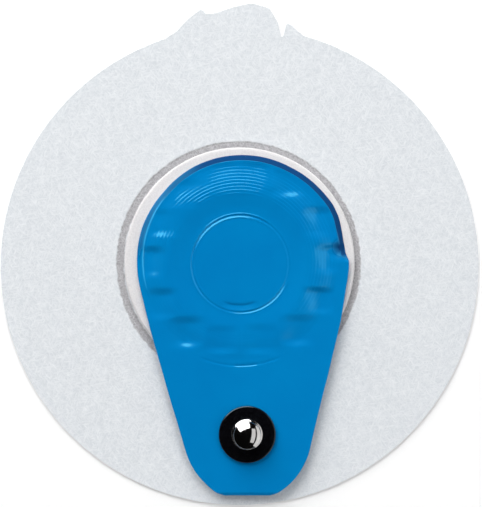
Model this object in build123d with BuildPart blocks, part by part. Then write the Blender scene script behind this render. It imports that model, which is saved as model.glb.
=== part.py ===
from build123d import *
import math
import os

# ECG electrode with an off-centre press stud: a round breathable backing sheet, a foam ring
# round a gel well, a formed blue film shaped like a drop, and a riveted stud at the film's tail.
# Millimetres. The origin is the centre of the gel well on the skin side, +Z away from the skin,
# +Y towards the finger tab. The tail and its stud point towards -Y.

# Backing sheet
backing_radius = 34.0
backing_thickness = 0.35
backing_drop = 0.5  # the sheet's centre lies this far below the gel well's
press_ring_width = 1.1
press_ring_depth = 0.12
press_ring_gap = 0.05  # from the foam's edge to the pressed ring

# Torn finger tab, as distances from the sheet's middle line and rises above the round rim
tab_left_root = 10.6
tab_left_bend = (-8.5, -0.15)
tab_left_peak = (-5.4, 2.5)
tab_dip = (-4.2, 1.85)
tab_crest = (1.5, 3.3)
tab_right_shoulder = (4.4, 2.6)
tab_tear = (5.4, 0.9)
tab_notch_left = (5.9, -1.45)
tab_notch_right = (6.3, -1.45)
tab_stub_left = (6.5, 0.45)
tab_stub_right = (7.0, 0.5)
tab_right_root = 9.1

# Gel well, foam ring, sponge and sensor
gel_radius = 7.0
foam_margin = 1.55  # how far the foam shows past the film's turned-down rim
foam_edge_height = 0.8
foam_edge_chamfer = 0.15
foam_land_gap = 0.15  # from the foam's raised land to the film's turned-down rim
sponge_clearance = 0.05
sensor_radius = 2.05
sensor_thickness = 0.2
sensor_nub_radius = 1.1
sensor_nub_height = 0.35
sensor_nub_taper = 0.2
sensor_clearance = 0.02

# Blue film
film_thickness = 0.35
carrier_turn = 1.6  # degrees, the film was laid on a little askew
carrier_shift = 0.4  # and a little to the right
head_radius = 14.8  # of the turned-down rim
head_shift = 0.3  # the head's outline is centred this far above the gel well
blank_margin = 0.4  # how far the flat blank runs past the turned-down rim
tail_radius = 9.1
tail_flat = 8.6  # from the stud's axis to the straight end of the tail
tail_margin = 1.55  # from the straight end of the tail to the edge of the sheet
rim_width = 0.65
rim_foot = 0.15
rim_drop = 0.4
rim_start = 2.0  # degrees, where the turned-down rim starts and ends on the head
rim_end = 202.0
ridge_gap = 0.45  # from the gel well to the foot of the ridge
ridge_margin = 0.55  # from the ridge to the turned-down rim
ridge_height = 0.5
ridge_inner_flank = 1.6
ridge_outer_flank = 1.0
dent_count = 14
dent_start = 1.0  # degrees, where the first dent lies
dent_inset = 1.4  # from the ridge's outer foot to the middle of each dent
dent_width = 4.4
dent_depth = 0.22
well_groove_width = 0.5
well_groove_depth = 0.12
crease_offset = 1.1  # from the ridge's outer foot to the crease across the tail
crease_width = 0.3
crease_depth = 0.06
crease_span = 56.0  # degrees

# Conductor strip and the lining under the tail
strip_width = 5.0
strip_thickness = 0.1
strip_clearance = 0.1
lining_thickness = 0.2
lining_inset = 0.4  # from the film's edge to the lining's
lining_gap = 0.25  # from the lining to the eyelet's flange

# Press stud, washer and eyelet
washer_radius = 4.05
washer_thickness = 0.7
washer_chamfer = 0.15
stud_head_radius = 1.95
stud_undercut = 0.25  # how far the head stands out past the neck
stud_wall = 0.2
stud_foot_flange = 0.5  # how far the foot stands out past the neck
stud_foot_thickness = 0.3
stud_foot_chamfer = 0.1
stud_neck_height = 1.3  # top of the straight neck above the washer
stud_shoulder_height = 0.4
stud_band_height = 0.6
stud_dome_height = 0.7
roll_clearance = 0.05  # from the rolled end of the eyelet's post to the stud's neck
roll_overhang = 0.25  # how far the rolled end stands out past the post
roll_height = 0.3
post_wall = 0.25
post_clearance = 0.05
eyelet_flange_radius = 3.5
eyelet_flange_thickness = 0.25

# Heights that follow from the stack
foam_top = backing_thickness + foam_edge_height
film_seat = foam_top + rim_drop
film_top = film_seat + film_thickness
strip_seat = film_seat - strip_thickness
washer_top = film_top + washer_thickness

# Radii that follow from the head
rim_inner = head_radius - rim_width
blank_radius = head_radius + blank_margin
ridge_inner = gel_radius + ridge_gap
ridge_outer = rim_inner - ridge_margin
foam_land_radius = rim_inner - foam_land_gap
foam_radius = head_radius + foam_margin

# Radii that follow from the stud's head
stud_neck_radius = stud_head_radius - stud_undercut
stud_foot_radius = stud_neck_radius + stud_foot_flange
hollow_head = stud_head_radius - stud_wall
hollow_neck = stud_neck_radius - stud_wall
roll_radius = hollow_neck - roll_clearance
post_radius = roll_radius - roll_overhang
post_bore = post_radius - post_wall
post_hole = post_radius + post_clearance

# The stud's axis, from the gel well's centre: the tail reaches almost to the sheet's edge
snap_distance = backing_radius + backing_drop - tail_margin - tail_flat

# The sheet, the foam and the press tool are true to the frame; the film's blank and all that
# it carries lie askew on them.
sheet = Plane((0, -backing_drop, 0))
carrier = Plane((carrier_shift, 0, 0)).rotated((0, 0, carrier_turn))
head_centre = carrier.from_local_coords(Vector(0, head_shift, 0))
snap_centre = carrier.from_local_coords(Vector(0, -snap_distance, 0))
head_axis = Axis(head_centre, (0, 0, 1))
snap_axis = Axis(snap_centre, (0, 0, 1))


def section_at(angle, centre=Vector(0, 0, 0)):
    """An upright plane through the vertical line at centre: x runs outward, y runs up."""
    outward = Vector(1, 0, 0).rotate(Axis.Z, angle)
    return Plane(centre, x_dir=outward, z_dir=outward.cross(Vector(0, 0, 1)))


def arc_radius(chord, rise):
    """The radius of an arc with this chord and rise."""
    return (chord**2 / 4 + rise**2) / (2 * rise)


snap_section = section_at(carrier_turn, snap_centre)


# Round backing sheet with a torn tab, a hole for the gel and a pressed ring round the foam
def on_tab(point):
    return (point[0], backing_radius + point[1])


tab_left_angle = 90 + math.degrees(math.asin(tab_left_root / backing_radius))
tab_right_angle = 90 - math.degrees(math.asin(tab_right_root / backing_radius))

with BuildPart() as backing:
    with BuildSketch(sheet):
        with BuildLine():
            round_rim = CenterArc(
                (0, 0), backing_radius, tab_left_angle, 360 - tab_left_angle + tab_right_angle
            )
            stub = Polyline(
                round_rim @ 1,
                on_tab(tab_stub_right),
                on_tab(tab_stub_left),
                on_tab(tab_notch_right),
                on_tab(tab_notch_left),
            )
            tear = ThreePointArc(stub @ 1, on_tab(tab_tear), on_tab(tab_right_shoulder))
            crest = ThreePointArc(tear @ 1, on_tab(tab_crest), on_tab(tab_dip))
            peak = Line(crest @ 1, on_tab(tab_left_peak))
            Spline(peak @ 1, on_tab(tab_left_bend), round_rim @ 0)
        make_face()
        with Locations((0, backing_drop)):
            Circle(gel_radius, mode=Mode.SUBTRACT)
    extrude(amount=backing_thickness)
    with BuildSketch(Plane.XY.offset(backing_thickness)):
        Circle(foam_radius + press_ring_gap + press_ring_width)
        Circle(foam_radius + press_ring_gap, mode=Mode.SUBTRACT)
    extrude(amount=-press_ring_depth, mode=Mode.SUBTRACT)
backing.part.label = "backing_sheet"


# White foam ring: a land under the film's head, lower where its edge shows outside the film
with BuildPart() as foam:
    with BuildSketch(Plane.XY.offset(backing_thickness)):
        Circle(foam_radius)
    extrude(amount=foam_edge_height)
    chamfer(foam.faces().sort_by(Axis.Z)[-1].edges(), foam_edge_chamfer)
    with BuildSketch(carrier.offset(foam_top)):
        with Locations((0, head_shift)):
            Circle(foam_land_radius)
    extrude(amount=rim_drop)
    with BuildSketch(Plane.XY.offset(backing_thickness)):
        Circle(gel_radius)
    extrude(amount=foam_edge_height + rim_drop, mode=Mode.SUBTRACT)
    with BuildSketch(carrier.offset(strip_seat)):
        Rectangle(
            strip_width + 2 * strip_clearance,
            foam_radius,
            align=(Align.CENTER, Align.MAX),
        )
    extrude(amount=strip_thickness, mode=Mode.SUBTRACT)
foam.part.label = "foam_ring"


# Sensor: a thin disc against the strip, with a round nub that dips into the gel
def sensor_profile(clearance):
    """Half of the sensor's section, grown all round by a clearance."""
    disc = sensor_radius + clearance
    nub = sensor_nub_radius + clearance
    shoulder = strip_seat - sensor_thickness - clearance
    tip = shoulder - sensor_nub_height
    with BuildLine() as profile:
        Polyline(
            (0, strip_seat),
            (disc, strip_seat),
            (disc, shoulder),
            (nub, shoulder),
            (nub - sensor_nub_taper, tip),
            (0, tip),
            close=True,
        )
    return profile.edges()


with BuildPart() as sensor:
    with BuildSketch(Plane.XZ):
        make_face(sensor_profile(0))
    revolve(axis=Axis.Z)
sensor.part.label = "sensor_disc"


# Gel-soaked sponge that fills the well, flush with the skin side, hollowed for the sensor
with BuildPart() as sponge:
    with BuildSketch(Plane.XY):
        Circle(gel_radius - sponge_clearance)
    extrude(amount=strip_seat)
    with BuildSketch(Plane.XZ):
        make_face(sensor_profile(sensor_clearance))
    revolve(axis=Axis.Z, mode=Mode.SUBTRACT)
sponge.part.label = "gel_sponge"


# Conductor strip from the sensor to the eyelet
with BuildPart() as strip:
    with BuildSketch(carrier.offset(strip_seat)):
        with Locations((0, -snap_distance / 2)):
            SlotCenterToCenter(snap_distance, strip_width, rotation=90)
        with Locations((0, -snap_distance)):
            Circle(post_hole, mode=Mode.SUBTRACT)
    extrude(amount=strip_thickness)
strip.part.label = "conductor_strip"


def drop_outline(inset):
    """The drop-shaped outline of the film, drawn in by an inset. Its straight end is cut level."""
    with Locations((0, head_shift)):
        Circle(blank_radius - inset)
    with Locations((0, -snap_distance)):
        Circle(tail_radius - inset)
    make_hull()
    with Locations((0, inset - snap_distance - tail_flat)):
        Rectangle(
            2 * tail_radius,
            tail_radius,
            rotation=-carrier_turn,
            align=(Align.CENTER, Align.MAX),
            mode=Mode.SUBTRACT,
        )


# White lining that covers the strip under the tail, from the head on, open round the eyelet's flange
with BuildPart() as lining:
    with BuildSketch(carrier.offset(film_seat - lining_thickness)):
        drop_outline(lining_inset)
        with Locations((0, head_shift)):
            Circle(blank_radius, mode=Mode.SUBTRACT)
        with Locations((0, -snap_distance)):
            Circle(eyelet_flange_radius + lining_gap, mode=Mode.SUBTRACT)
    extrude(amount=lining_thickness)
    with BuildSketch(carrier.offset(strip_seat)):
        Rectangle(
            strip_width + 2 * strip_clearance,
            snap_distance,
            align=(Align.CENTER, Align.MAX),
        )
    extrude(amount=strip_thickness, mode=Mode.SUBTRACT)
lining.part.label = "tail_lining"


# The film's ridge: a ring with a flat crest and two flanks
with BuildPart() as ridge:
    with BuildSketch(Plane.XZ):
        with BuildLine():
            Polyline(
                (ridge_inner, film_top),
                (ridge_inner + ridge_inner_flank, film_top + ridge_height),
                (ridge_outer - ridge_outer_flank, film_top + ridge_height),
                (ridge_outer, film_top),
                close=True,
            )
        make_face()
    revolve(axis=Axis.Z)


# Round dents pressed into the ridge, open towards its outer flank. Each is the low side of a
# sphere whose poles lie sideways, so that the dent is one smooth patch.
dent_arc = arc_radius(dent_width, dent_depth)
dent_ring = ridge_outer - dent_inset
dent_level = film_top + ridge_height - dent_depth + dent_arc

# Blue film: drop-shaped blank, turned-down rim, hollow dented ridge, groove round the well
with BuildPart() as film:
    with BuildSketch(carrier.offset(film_seat)):
        drop_outline(0)
        with Locations((0, -snap_distance)):
            Circle(post_hole, mode=Mode.SUBTRACT)
        with BuildLine():
            inner_arc = CenterArc((0, head_shift), rim_inner, rim_start, rim_end - rim_start)
            outer_arc = CenterArc(
                (0, head_shift), blank_radius + rim_width, rim_start, rim_end - rim_start
            )
            Line(inner_arc @ 0, outer_arc @ 0)
            Line(inner_arc @ 1, outer_arc @ 1)
        make_face(mode=Mode.SUBTRACT)
    extrude(amount=film_thickness)
    with BuildSketch(section_at(carrier_turn + rim_start, head_centre)):
        with BuildLine():
            Polyline(
                (rim_inner, film_seat),
                (head_radius - rim_foot, foam_top),
                (head_radius, foam_top),
                (head_radius, foam_top + film_thickness),
                (head_radius - rim_foot, foam_top + film_thickness),
                (rim_inner, film_top),
                close=True,
            )
        make_face()
    revolve(axis=head_axis, revolution_arc=rim_end - rim_start)
    add(ridge.part)
    with Locations((0, 0, -film_thickness)):
        add(ridge.part, mode=Mode.SUBTRACT)
    with Locations((0, 0, dent_level)):
        with PolarLocations(dent_ring, dent_count, start_angle=dent_start):
            Sphere(dent_arc, rotation=(90, 0, 0), mode=Mode.SUBTRACT)
    with BuildSketch(Plane.XZ):
        with BuildLine():
            Polyline(
                (gel_radius - well_groove_width / 2, film_top),
                (gel_radius, film_top - well_groove_depth),
                (gel_radius + well_groove_width / 2, film_top),
                close=True,
            )
        make_face()
    revolve(axis=Axis.Z, mode=Mode.SUBTRACT)
    with BuildSketch(section_at(carrier_turn - 90 - crease_span / 2)):
        with BuildLine():
            Polyline(
                (ridge_outer + crease_offset - crease_width / 2, film_top),
                (ridge_outer + crease_offset, film_top - crease_depth),
                (ridge_outer + crease_offset + crease_width / 2, film_top),
                close=True,
            )
        make_face()
    revolve(axis=Axis.Z, revolution_arc=crease_span, mode=Mode.SUBTRACT)
film.part.label = "carrier_film"


# Black washer between the film and the stud
with BuildPart() as washer:
    with BuildSketch(carrier.offset(film_top)):
        with Locations((0, -snap_distance)):
            Circle(washer_radius)
    extrude(amount=washer_thickness)
    chamfer(washer.faces().sort_by(Axis.Z)[-1].edges(), washer_chamfer)
    with BuildSketch(carrier.offset(film_top)):
        with Locations((0, -snap_distance)):
            Circle(post_hole)
    extrude(amount=washer_thickness, mode=Mode.SUBTRACT)
washer.part.label = "snap_washer"


# Press stud, drawn from sheet: a foot on the washer, a neck, a wider band and a domed top
foot_top = washer_top + stud_foot_thickness
neck_top = washer_top + stud_neck_height
band_foot = neck_top + stud_shoulder_height
band_top = band_foot + stud_band_height
stud_top = band_top + stud_dome_height
dome_arc = arc_radius(2 * stud_head_radius, stud_dome_height)

with BuildPart() as stud:
    with BuildSketch(snap_section):
        with BuildLine():
            outside = Polyline(
                (post_hole, washer_top),
                (stud_foot_radius, washer_top),
                (stud_foot_radius, foot_top - stud_foot_chamfer),
                (stud_foot_radius - stud_foot_chamfer, foot_top),
                (stud_neck_radius, foot_top),
                (stud_neck_radius, neck_top),
                (stud_head_radius, band_foot),
                (stud_head_radius, band_top),
            )
            dome = RadiusArc(outside @ 1, (0, stud_top), -dome_arc)
            Polyline(
                dome @ 1,
                (0, stud_top - stud_wall),
                (hollow_head, band_top),
                (hollow_head, band_foot),
                (hollow_neck, neck_top),
                (hollow_neck, foot_top),
                (post_hole, foot_top),
                outside @ 0,
            )
        make_face()
    revolve(axis=snap_axis)
stud.part.label = "snap_stud"


# Eyelet: a flange under the strip and a hollow post whose end is rolled over in the stud
roll_top = foot_top + roll_height
flange_foot = strip_seat - eyelet_flange_thickness

with BuildPart() as eyelet:
    with BuildSketch(snap_section):
        with BuildLine():
            Polyline(
                (post_bore, flange_foot),
                (eyelet_flange_radius, flange_foot),
                (eyelet_flange_radius, strip_seat),
                (post_radius, strip_seat),
                (post_radius, foot_top),
                (roll_radius, foot_top),
                (roll_radius, foot_top + roll_height / 2),
                (post_radius, roll_top),
                (post_bore, roll_top - roll_height / 2),
                close=True,
            )
        make_face()
    revolve(axis=snap_axis)
eyelet.part.label = "snap_eyelet"


os.makedirs("parts", exist_ok=True)
for piece in (backing, foam, sensor, sponge, strip, lining, film, washer, stud, eyelet):
    export_step(piece.part, f"parts/{piece.part.label}.step")
    print(piece.part.label, len(piece.part.solids()), round(piece.part.volume, 2))
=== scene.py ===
# %% [markdown]
# # An ECG electrode, dressed in Blender
#
# This lesson takes the measured solids of a disposable skin electrode and gives them their looks:
# a white nonwoven sheet with a torn finger tab, a foam ring, a glossy blue film that was formed
# in a hot press, a black washer and a bright press stud. The solids fix every size and place.
# Here we only add what a camera would notice: relief, finish, light.

import math

import bmesh
import bpy
import numpy as np
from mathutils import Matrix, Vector, noise


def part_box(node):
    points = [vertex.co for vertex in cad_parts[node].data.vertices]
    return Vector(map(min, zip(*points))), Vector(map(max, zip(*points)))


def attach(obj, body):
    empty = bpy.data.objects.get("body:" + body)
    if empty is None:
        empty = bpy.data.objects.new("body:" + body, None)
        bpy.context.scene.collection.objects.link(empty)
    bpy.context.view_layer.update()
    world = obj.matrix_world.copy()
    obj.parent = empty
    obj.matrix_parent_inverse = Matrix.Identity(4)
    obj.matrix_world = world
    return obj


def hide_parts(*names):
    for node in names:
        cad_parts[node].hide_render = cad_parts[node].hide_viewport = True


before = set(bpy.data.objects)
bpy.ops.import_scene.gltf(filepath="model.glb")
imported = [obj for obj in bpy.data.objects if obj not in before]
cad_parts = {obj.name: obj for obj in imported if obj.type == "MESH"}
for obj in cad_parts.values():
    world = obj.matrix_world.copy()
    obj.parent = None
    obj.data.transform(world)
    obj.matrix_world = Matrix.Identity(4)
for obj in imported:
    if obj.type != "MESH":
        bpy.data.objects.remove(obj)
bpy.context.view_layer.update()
bpy.context.scene.view_settings.view_transform = "Standard"
print("solids:", sorted(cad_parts))

# %% [markdown]
# ## What the solids tell us
#
# A shape that is placed by eye has to be fitted again after each change. So we ask the solids
# for their boxes and work out the levels of the stack from them: the top of the sheet, the top
# of the foam, the top of the film. All shapes below are drawn in millimetres, because that is how
# such a thing is measured on the bench, and `MM` turns them into Blender's metres.

# %% Levels and centres, in millimetres
MM = 0.001


def node_box(name):
    low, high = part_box(name)
    return np.array(low) / MM, np.array(high) / MM


sheet_low, sheet_high = node_box("backing_sheet")
film_low, film_high = node_box("carrier_film")
washer_low, washer_high = node_box("snap_washer")
stud_low, stud_high = node_box("snap_stud")
foam_high = node_box("foam_ring")[1]
sponge_high = node_box("gel_sponge")[1]
strip_low = node_box("conductor_strip")[0]

sheet_top = sheet_high[2]
foam_edge_top = film_low[2]
film_seat = foam_high[2]
film_top = washer_low[2]
ridge_height = film_high[2] - film_top
foam_radius = foam_high[0]
washer_radius = (washer_high[0] - washer_low[0]) / 2
stud_centre = (washer_low[:2] + washer_high[:2]) / 2
print("film from", round(film_seat, 3), "to", round(film_top, 3), "mm, stud at", stud_centre.round(3))

# %% [markdown]
# ## The camera
#
# The photograph looks straight down, and the washer's sides don't show, so the lens was long.
# We use a 200 mm lens. How far away it hangs follows from how much of the object fills the
# picture: 7.03 pixels to the millimetre, over a height of 507 pixels.

# %% Hang the camera over the sheet
PICTURE_HEIGHT = 507
PIXELS_PER_MM = 7.029
VIEW_CENTRE = (0.2, 1.28)
LENS = 200.0
SENSOR = 36.0
CLIP = (0.01, 20.0)

camera_data = bpy.data.cameras.new("overhead")
camera_data.lens = LENS
camera_data.sensor_width = SENSOR
camera = bpy.data.objects.new("overhead", camera_data)
bpy.context.scene.collection.objects.link(camera)
view_height = PICTURE_HEIGHT / PIXELS_PER_MM
camera_distance = view_height / SENSOR * LENS
camera.location = Vector((*VIEW_CENTRE, camera_distance + sheet_top)) * MM
camera_data.clip_start, camera_data.clip_end = CLIP
bpy.context.scene.camera = camera
print("camera", round(camera_distance, 1), "mm above the sheet")

# %% [markdown]
# ## Floor and background
#
# The background is plain white. A white floor lit at a plain level comes out a little grey, so
# for the camera, and for mirrors and glass, it also glows very slightly. The lamps still fall on
# it, which keeps the soft shadow beside the sheet. Far from the object the glow takes over, so
# that floor and background meet without a line.

# %% Make nodes with less typing


def material_nodes(name):
    material = bpy.data.materials.new(name)
    material.use_nodes = True
    nodes = material.node_tree.nodes
    return material, nodes, material.node_tree.links, nodes["Principled BSDF"]


def add_node(nodes, kind, **settings):
    node = nodes.new(kind)
    for key, value in settings.items():
        if key in node.inputs:
            node.inputs[key].default_value = value
        else:
            setattr(node, key, value)
    return node


def remap(nodes, links, field, from_range, to_range=(0.0, 1.0)):
    """A field moved from one range of numbers to another, and held inside it."""
    change = nodes.new("ShaderNodeMapRange")
    change.inputs["From Min"].default_value, change.inputs["From Max"].default_value = from_range
    change.inputs["To Min"].default_value, change.inputs["To Max"].default_value = to_range
    links.new(field, change.inputs["Value"])
    return change.outputs["Result"]


def combined(nodes, links, operation, first, second):
    """Two fields put together by one operation of arithmetic."""
    node = add_node(nodes, "ShaderNodeMath", operation=operation)
    links.new(first, node.inputs[0])
    links.new(second, node.inputs[1])
    return node.outputs[0]


# %% Lay the floor
FLOOR_SIZE = 6.0
FLOOR_GAP = 0.05
FLOOR_COLOUR = (0.9, 0.9, 0.9, 1.0)
GLOW_REACH = (0.05, 0.5)
GLOW = (0.16, 1.0)


def lit_for_camera(nodes, links):
    """One where a ray comes from the camera, a mirror or glass, and nought for other rays."""
    path = nodes.new("ShaderNodeLightPath").outputs
    either = combined(nodes, links, "MAXIMUM", path["Is Camera Ray"], path["Is Glossy Ray"])
    return combined(nodes, links, "MAXIMUM", either, path["Is Transmission Ray"])


def floor_finish():
    material, nodes, links, shader = material_nodes("studio_floor")
    shader.inputs["Base Color"].default_value = FLOOR_COLOUR
    shader.inputs["Roughness"].default_value = 1.0
    shader.inputs["Specular IOR Level"].default_value = 0.0
    place = nodes.new("ShaderNodeTexCoord")
    away = add_node(nodes, "ShaderNodeVectorMath", operation="LENGTH")
    links.new(place.outputs["Object"], away.inputs[0])
    glow = remap(nodes, links, away.outputs["Value"], GLOW_REACH, GLOW)
    strength = combined(nodes, links, "MULTIPLY", glow, lit_for_camera(nodes, links))
    shader.inputs["Emission Color"].default_value = (1.0, 1.0, 1.0, 1.0)
    links.new(strength, shader.inputs["Emission Strength"])
    return material


half = FLOOR_SIZE / 2
floor_mesh = bpy.data.meshes.new("floor")
floor_mesh.from_pydata(
    [(-half, -half, 0), (half, -half, 0), (half, half, 0), (-half, half, 0)], [], [(0, 1, 2, 3)]
)
floor = bpy.data.objects.new("floor", floor_mesh)
bpy.context.scene.collection.objects.link(floor)
floor.location.z = -FLOOR_GAP * MM
floor_mesh.materials.append(floor_finish())
print("floor", FLOOR_SIZE, "m wide")

# %% [markdown]
# ## Light
#
# The bright arcs on the film and the patches on the stud tell where the light stood. One large
# softbox hangs past the picture's top edge, a little to the left. A window of two panes, one
# above the other, stands on the right: the stud shows them as two crescents. The stud's dark
# middle says that nothing bright hung straight above, yet the shadows are faint. So the fill
# comes from four scrims round the object that mirrors don't show, as white walls further off
# would give. Together the lamps light a flat white card at about 1, and colours come out as they
# are written.

# %% Place the softbox, the window and the scrims


def area_lamp(name, azimuth, elevation, distance, size, level, mirrored=True):
    """A rectangular lamp at a bearing from +X and a height above the floor, in degrees.
    The level is the share of a white card's brightness that it gives."""
    a, e = math.radians(azimuth), math.radians(elevation)
    away = Vector((math.cos(a) * math.cos(e), math.sin(a) * math.cos(e), math.sin(e)))
    data = bpy.data.lights.new(name, "AREA")
    data.shape = "RECTANGLE"
    data.size, data.size_y = size
    data.energy = level * (math.pi * distance) ** 2 / away.z
    lamp = bpy.data.objects.new(name, data)
    bpy.context.scene.collection.objects.link(lamp)
    lamp.location = away * distance
    lamp.rotation_euler = away.to_track_quat("Z", "Y").to_euler()
    lamp.visible_glossy = mirrored
    print(name, round(data.energy, 2), "W")


area_lamp("softbox", azimuth=113, elevation=34, distance=0.8, size=(0.9, 0.71), level=0.76)
area_lamp("upper_pane", azimuth=-8, elevation=56, distance=0.8, size=(1.15, 0.3), level=0.125)
area_lamp("lower_pane", azimuth=-8, elevation=25, distance=0.8, size=(1.8, 0.33), level=0.12)
for corner in (40, 130, 220, 310):
    area_lamp(
        f"scrim_{corner}", azimuth=corner, elevation=52, distance=1.3,
        size=(1.0, 0.7), level=0.07, mirrored=False,
    )

# %% [markdown]
# Behind the lamps the studio is dark, but towards the horizon it is as white as the floor, so that
# a view from the side shows the same white background.

# %% Whiten the horizon
HORIZON_BAND = (0.04, 0.14)
STUDIO_LEVELS = (1.0, 0.003)

world = bpy.data.worlds.new("studio")
bpy.context.scene.world = world
world.use_nodes = True
world_nodes, world_links = world.node_tree.nodes, world.node_tree.links
sky_direction = world_nodes.new("ShaderNodeTexCoord")
sky_parts = world_nodes.new("ShaderNodeSeparateXYZ")
world_links.new(sky_direction.outputs["Generated"], sky_parts.inputs["Vector"])
sky_level = remap(world_nodes, world_links, sky_parts.outputs["Z"], HORIZON_BAND, STUDIO_LEVELS)
world_links.new(sky_level, world_nodes["Background"].inputs["Strength"])
world_nodes["Background"].inputs["Color"].default_value = (1.0, 1.0, 1.0, 1.0)
print("studio from", STUDIO_LEVELS[0], "at the horizon to", STUDIO_LEVELS[1], "overhead")

# %% [markdown]
# ## Skins made of rings
#
# Sheet, foam, film, washer and stud all have a middle, so each skin can be a stack of rings
# around it. One helper joins ring to ring with quads. A piece with a hole closes on itself, ring
# to first ring; a piece without one starts and ends in a point. Both give a closed mesh, which
# is what a slicer or a simulator wants. It also keeps the edges where the shape turns.

# %% Join rings into a closed skin


def skin_of_rings(rings, has_hole):
    """Points and faces of a closed skin: rings of points, each as long as the next."""
    count, around = len(rings), len(rings[0])
    points = np.concatenate(rings)
    index = np.arange(count * around).reshape(count, around)
    if has_hole:
        index = np.vstack([index, index[:1]])
    near, far = index[:-1], index[1:]
    quads = np.stack([near, far, np.roll(far, -1, 1), np.roll(near, -1, 1)], -1).reshape(-1, 4)
    faces = [tuple(q) for q in quads.tolist()]
    if not has_hole:
        first, last = len(points), len(points) + 1
        points = np.vstack([points, rings[0].mean(0), rings[-1].mean(0)])
        for i in range(around):
            j = (i + 1) % around
            faces.append((first, int(index[0, i]), int(index[0, j])))
            faces.append((last, int(index[-1, j]), int(index[-1, i])))
    return points, faces


def face_outward(mesh):
    shape = bmesh.new()
    shape.from_mesh(mesh)
    bmesh.ops.recalc_face_normals(shape, faces=shape.faces)
    shape.to_mesh(mesh)
    shape.free()


def add_piece(name, skin, finish, stands_for, sharp_angle=180.0):
    """A smooth mesh of points in millimetres that stands for one solid, which it hides."""
    points, faces = skin
    mesh = bpy.data.meshes.new(name)
    mesh.from_pydata((np.asarray(points) * MM).tolist(), [], faces)
    mesh.validate()
    face_outward(mesh)
    mesh.shade_smooth()
    mesh.set_sharp_from_angle(angle=math.radians(sharp_angle))
    mesh.materials.append(finish)
    piece = bpy.data.objects.new(name, mesh)
    bpy.context.scene.collection.objects.link(piece)
    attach(piece, "root")
    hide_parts(stands_for)
    print(name, len(mesh.polygons), "faces")
    return piece


def lifted(ring, level):
    """A flat ring of points at one level, or at a level for each point."""
    return np.column_stack([ring, np.broadcast_to(level, len(ring))])


# %% [markdown]
# ## The sheet's torn outline
#
# The sheet is a disc of 68 mm with a finger tab that was torn off its carrier, so the tab's edge
# is ragged. Seen from the middle, each direction meets the edge once. That lets us write the
# outline as a distance for each angle: the round rim, a few measured points for the tab, and a
# trace of noise for the cut fibres.

# %% Trace the outline as a reach for each angle
SHEET_RADIUS = sheet_high[0]
sheet_centre = np.array([0.0, sheet_low[1] + SHEET_RADIUS])
TAB_POINTS = [
    (-10.6, 32.31), (-9.71, 32.9), (-8.86, 33.47), (-8.0, 34.45), (-7.15, 35.3), (-6.3, 35.95),
    (-5.6, 36.45), (-5.2, 36.35), (-4.9, 35.95), (-4.2, 35.85), (-3.3, 36.0), (-1.6, 36.6),
    (0.0, 37.05), (1.2, 37.28), (2.1, 37.28), (3.1, 37.0), (4.2, 36.65), (4.6, 36.1),
    (5.0, 35.4), (5.4, 34.8), (5.6, 33.9), (5.95, 32.6), (6.2, 32.55), (6.62, 34.4),
    (6.95, 34.5), (7.5, 34.15), (8.2, 33.5), (9.1, 32.76),
]
TAB_SECTOR = (60, 120)
TAB_MARGIN = 2
PLAIN_STEP, TORN_STEP = 0.9, 0.16
EDGE_FRAY = 0.05
FRAY_WAVES = [(2.1, 1.0), (6.3, 0.6)]

tab = np.array(TAB_POINTS)
tab_angles = np.degrees(np.arctan2(tab[:, 1], tab[:, 0]))
tab_reaches = np.hypot(tab[:, 0], tab[:, 1])
plain_angles = np.arange(0.0, 360.0, PLAIN_STEP)
torn_angles = np.arange(tab_angles.min() - TAB_MARGIN, tab_angles.max() + TAB_MARGIN, TORN_STEP)
outside_tab = (plain_angles < torn_angles[0]) | (plain_angles > torn_angles[-1])
sheet_angles = np.sort(np.concatenate([plain_angles[outside_tab], torn_angles]))


def frayed(angle, reach):
    """How far cut fibres stand out or in: two waves of noise, each a scale and a share."""
    turn = math.radians(angle)
    spot = Vector((math.cos(turn), math.sin(turn), 0.0)) * reach
    return EDGE_FRAY * sum(share * noise.noise(spot * scale) for scale, share in FRAY_WAVES)


order = np.argsort(tab_angles)
sheet_reach = np.interp(
    sheet_angles, tab_angles[order], tab_reaches[order], left=SHEET_RADIUS, right=SHEET_RADIUS
)
sheet_reach = sheet_reach + [frayed(a, r) for a, r in zip(sheet_angles, sheet_reach)]
off_tab = (sheet_angles < TAB_SECTOR[0]) | (sheet_angles > TAB_SECTOR[1])
sheet_reach[off_tab] = np.minimum(sheet_reach[off_tab], SHEET_RADIUS)
print("outline of", len(sheet_angles), "points, reach", round(sheet_reach.max(), 2), "mm")

# %% [markdown]
# ## Relief of the sheet
#
# Nonwoven cloth is a felt of fibres bonded in a press. It is never quite flat, and round the foam
# it was pressed hard, which leaves a sunken ring. The shape carries the ring and the slow waves;
# the fine fibres come with the finish, because they are thinner than any mesh should be.

# %% Raise and press the sheet's top
GEL_RADIUS = sponge_high[0] + 0.05
PRESS_CENTRE = np.array([-0.13, -0.15])
PRESS_RADIUS = foam_radius + 0.5
PRESS_HALF_WIDTH = 0.52
PRESS_WALL = (0.1, -0.15)
PRESS_DEPTH = 0.12
WAVE_HEIGHT = 0.02
SHEET_WAVES = [(0.35, 1.0, 0), (1.1, 0.7, 3)]
EDGE_ROUND = 0.06
WELL_RINGS = [GEL_RADIUS, 9.0, 11.0, 13.0, 15.0, 16.0]
PRESS_RINGS = np.linspace(16.2, 17.8, 15)
OUTER_SHARES = np.linspace(0, 1, 58)[1:]


def smooth_step(value, start, end):
    t = np.clip((value - start) / (end - start), 0.0, 1.0)
    return t * t * (3 - 2 * t)


def layered_noise(x, y, layers):
    """A sum of noises, each given by its scale, its share and the layer that it is cut from."""
    return sum(share * noise.noise(Vector((x, y, z)) * scale) for scale, share, z in layers)


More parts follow.
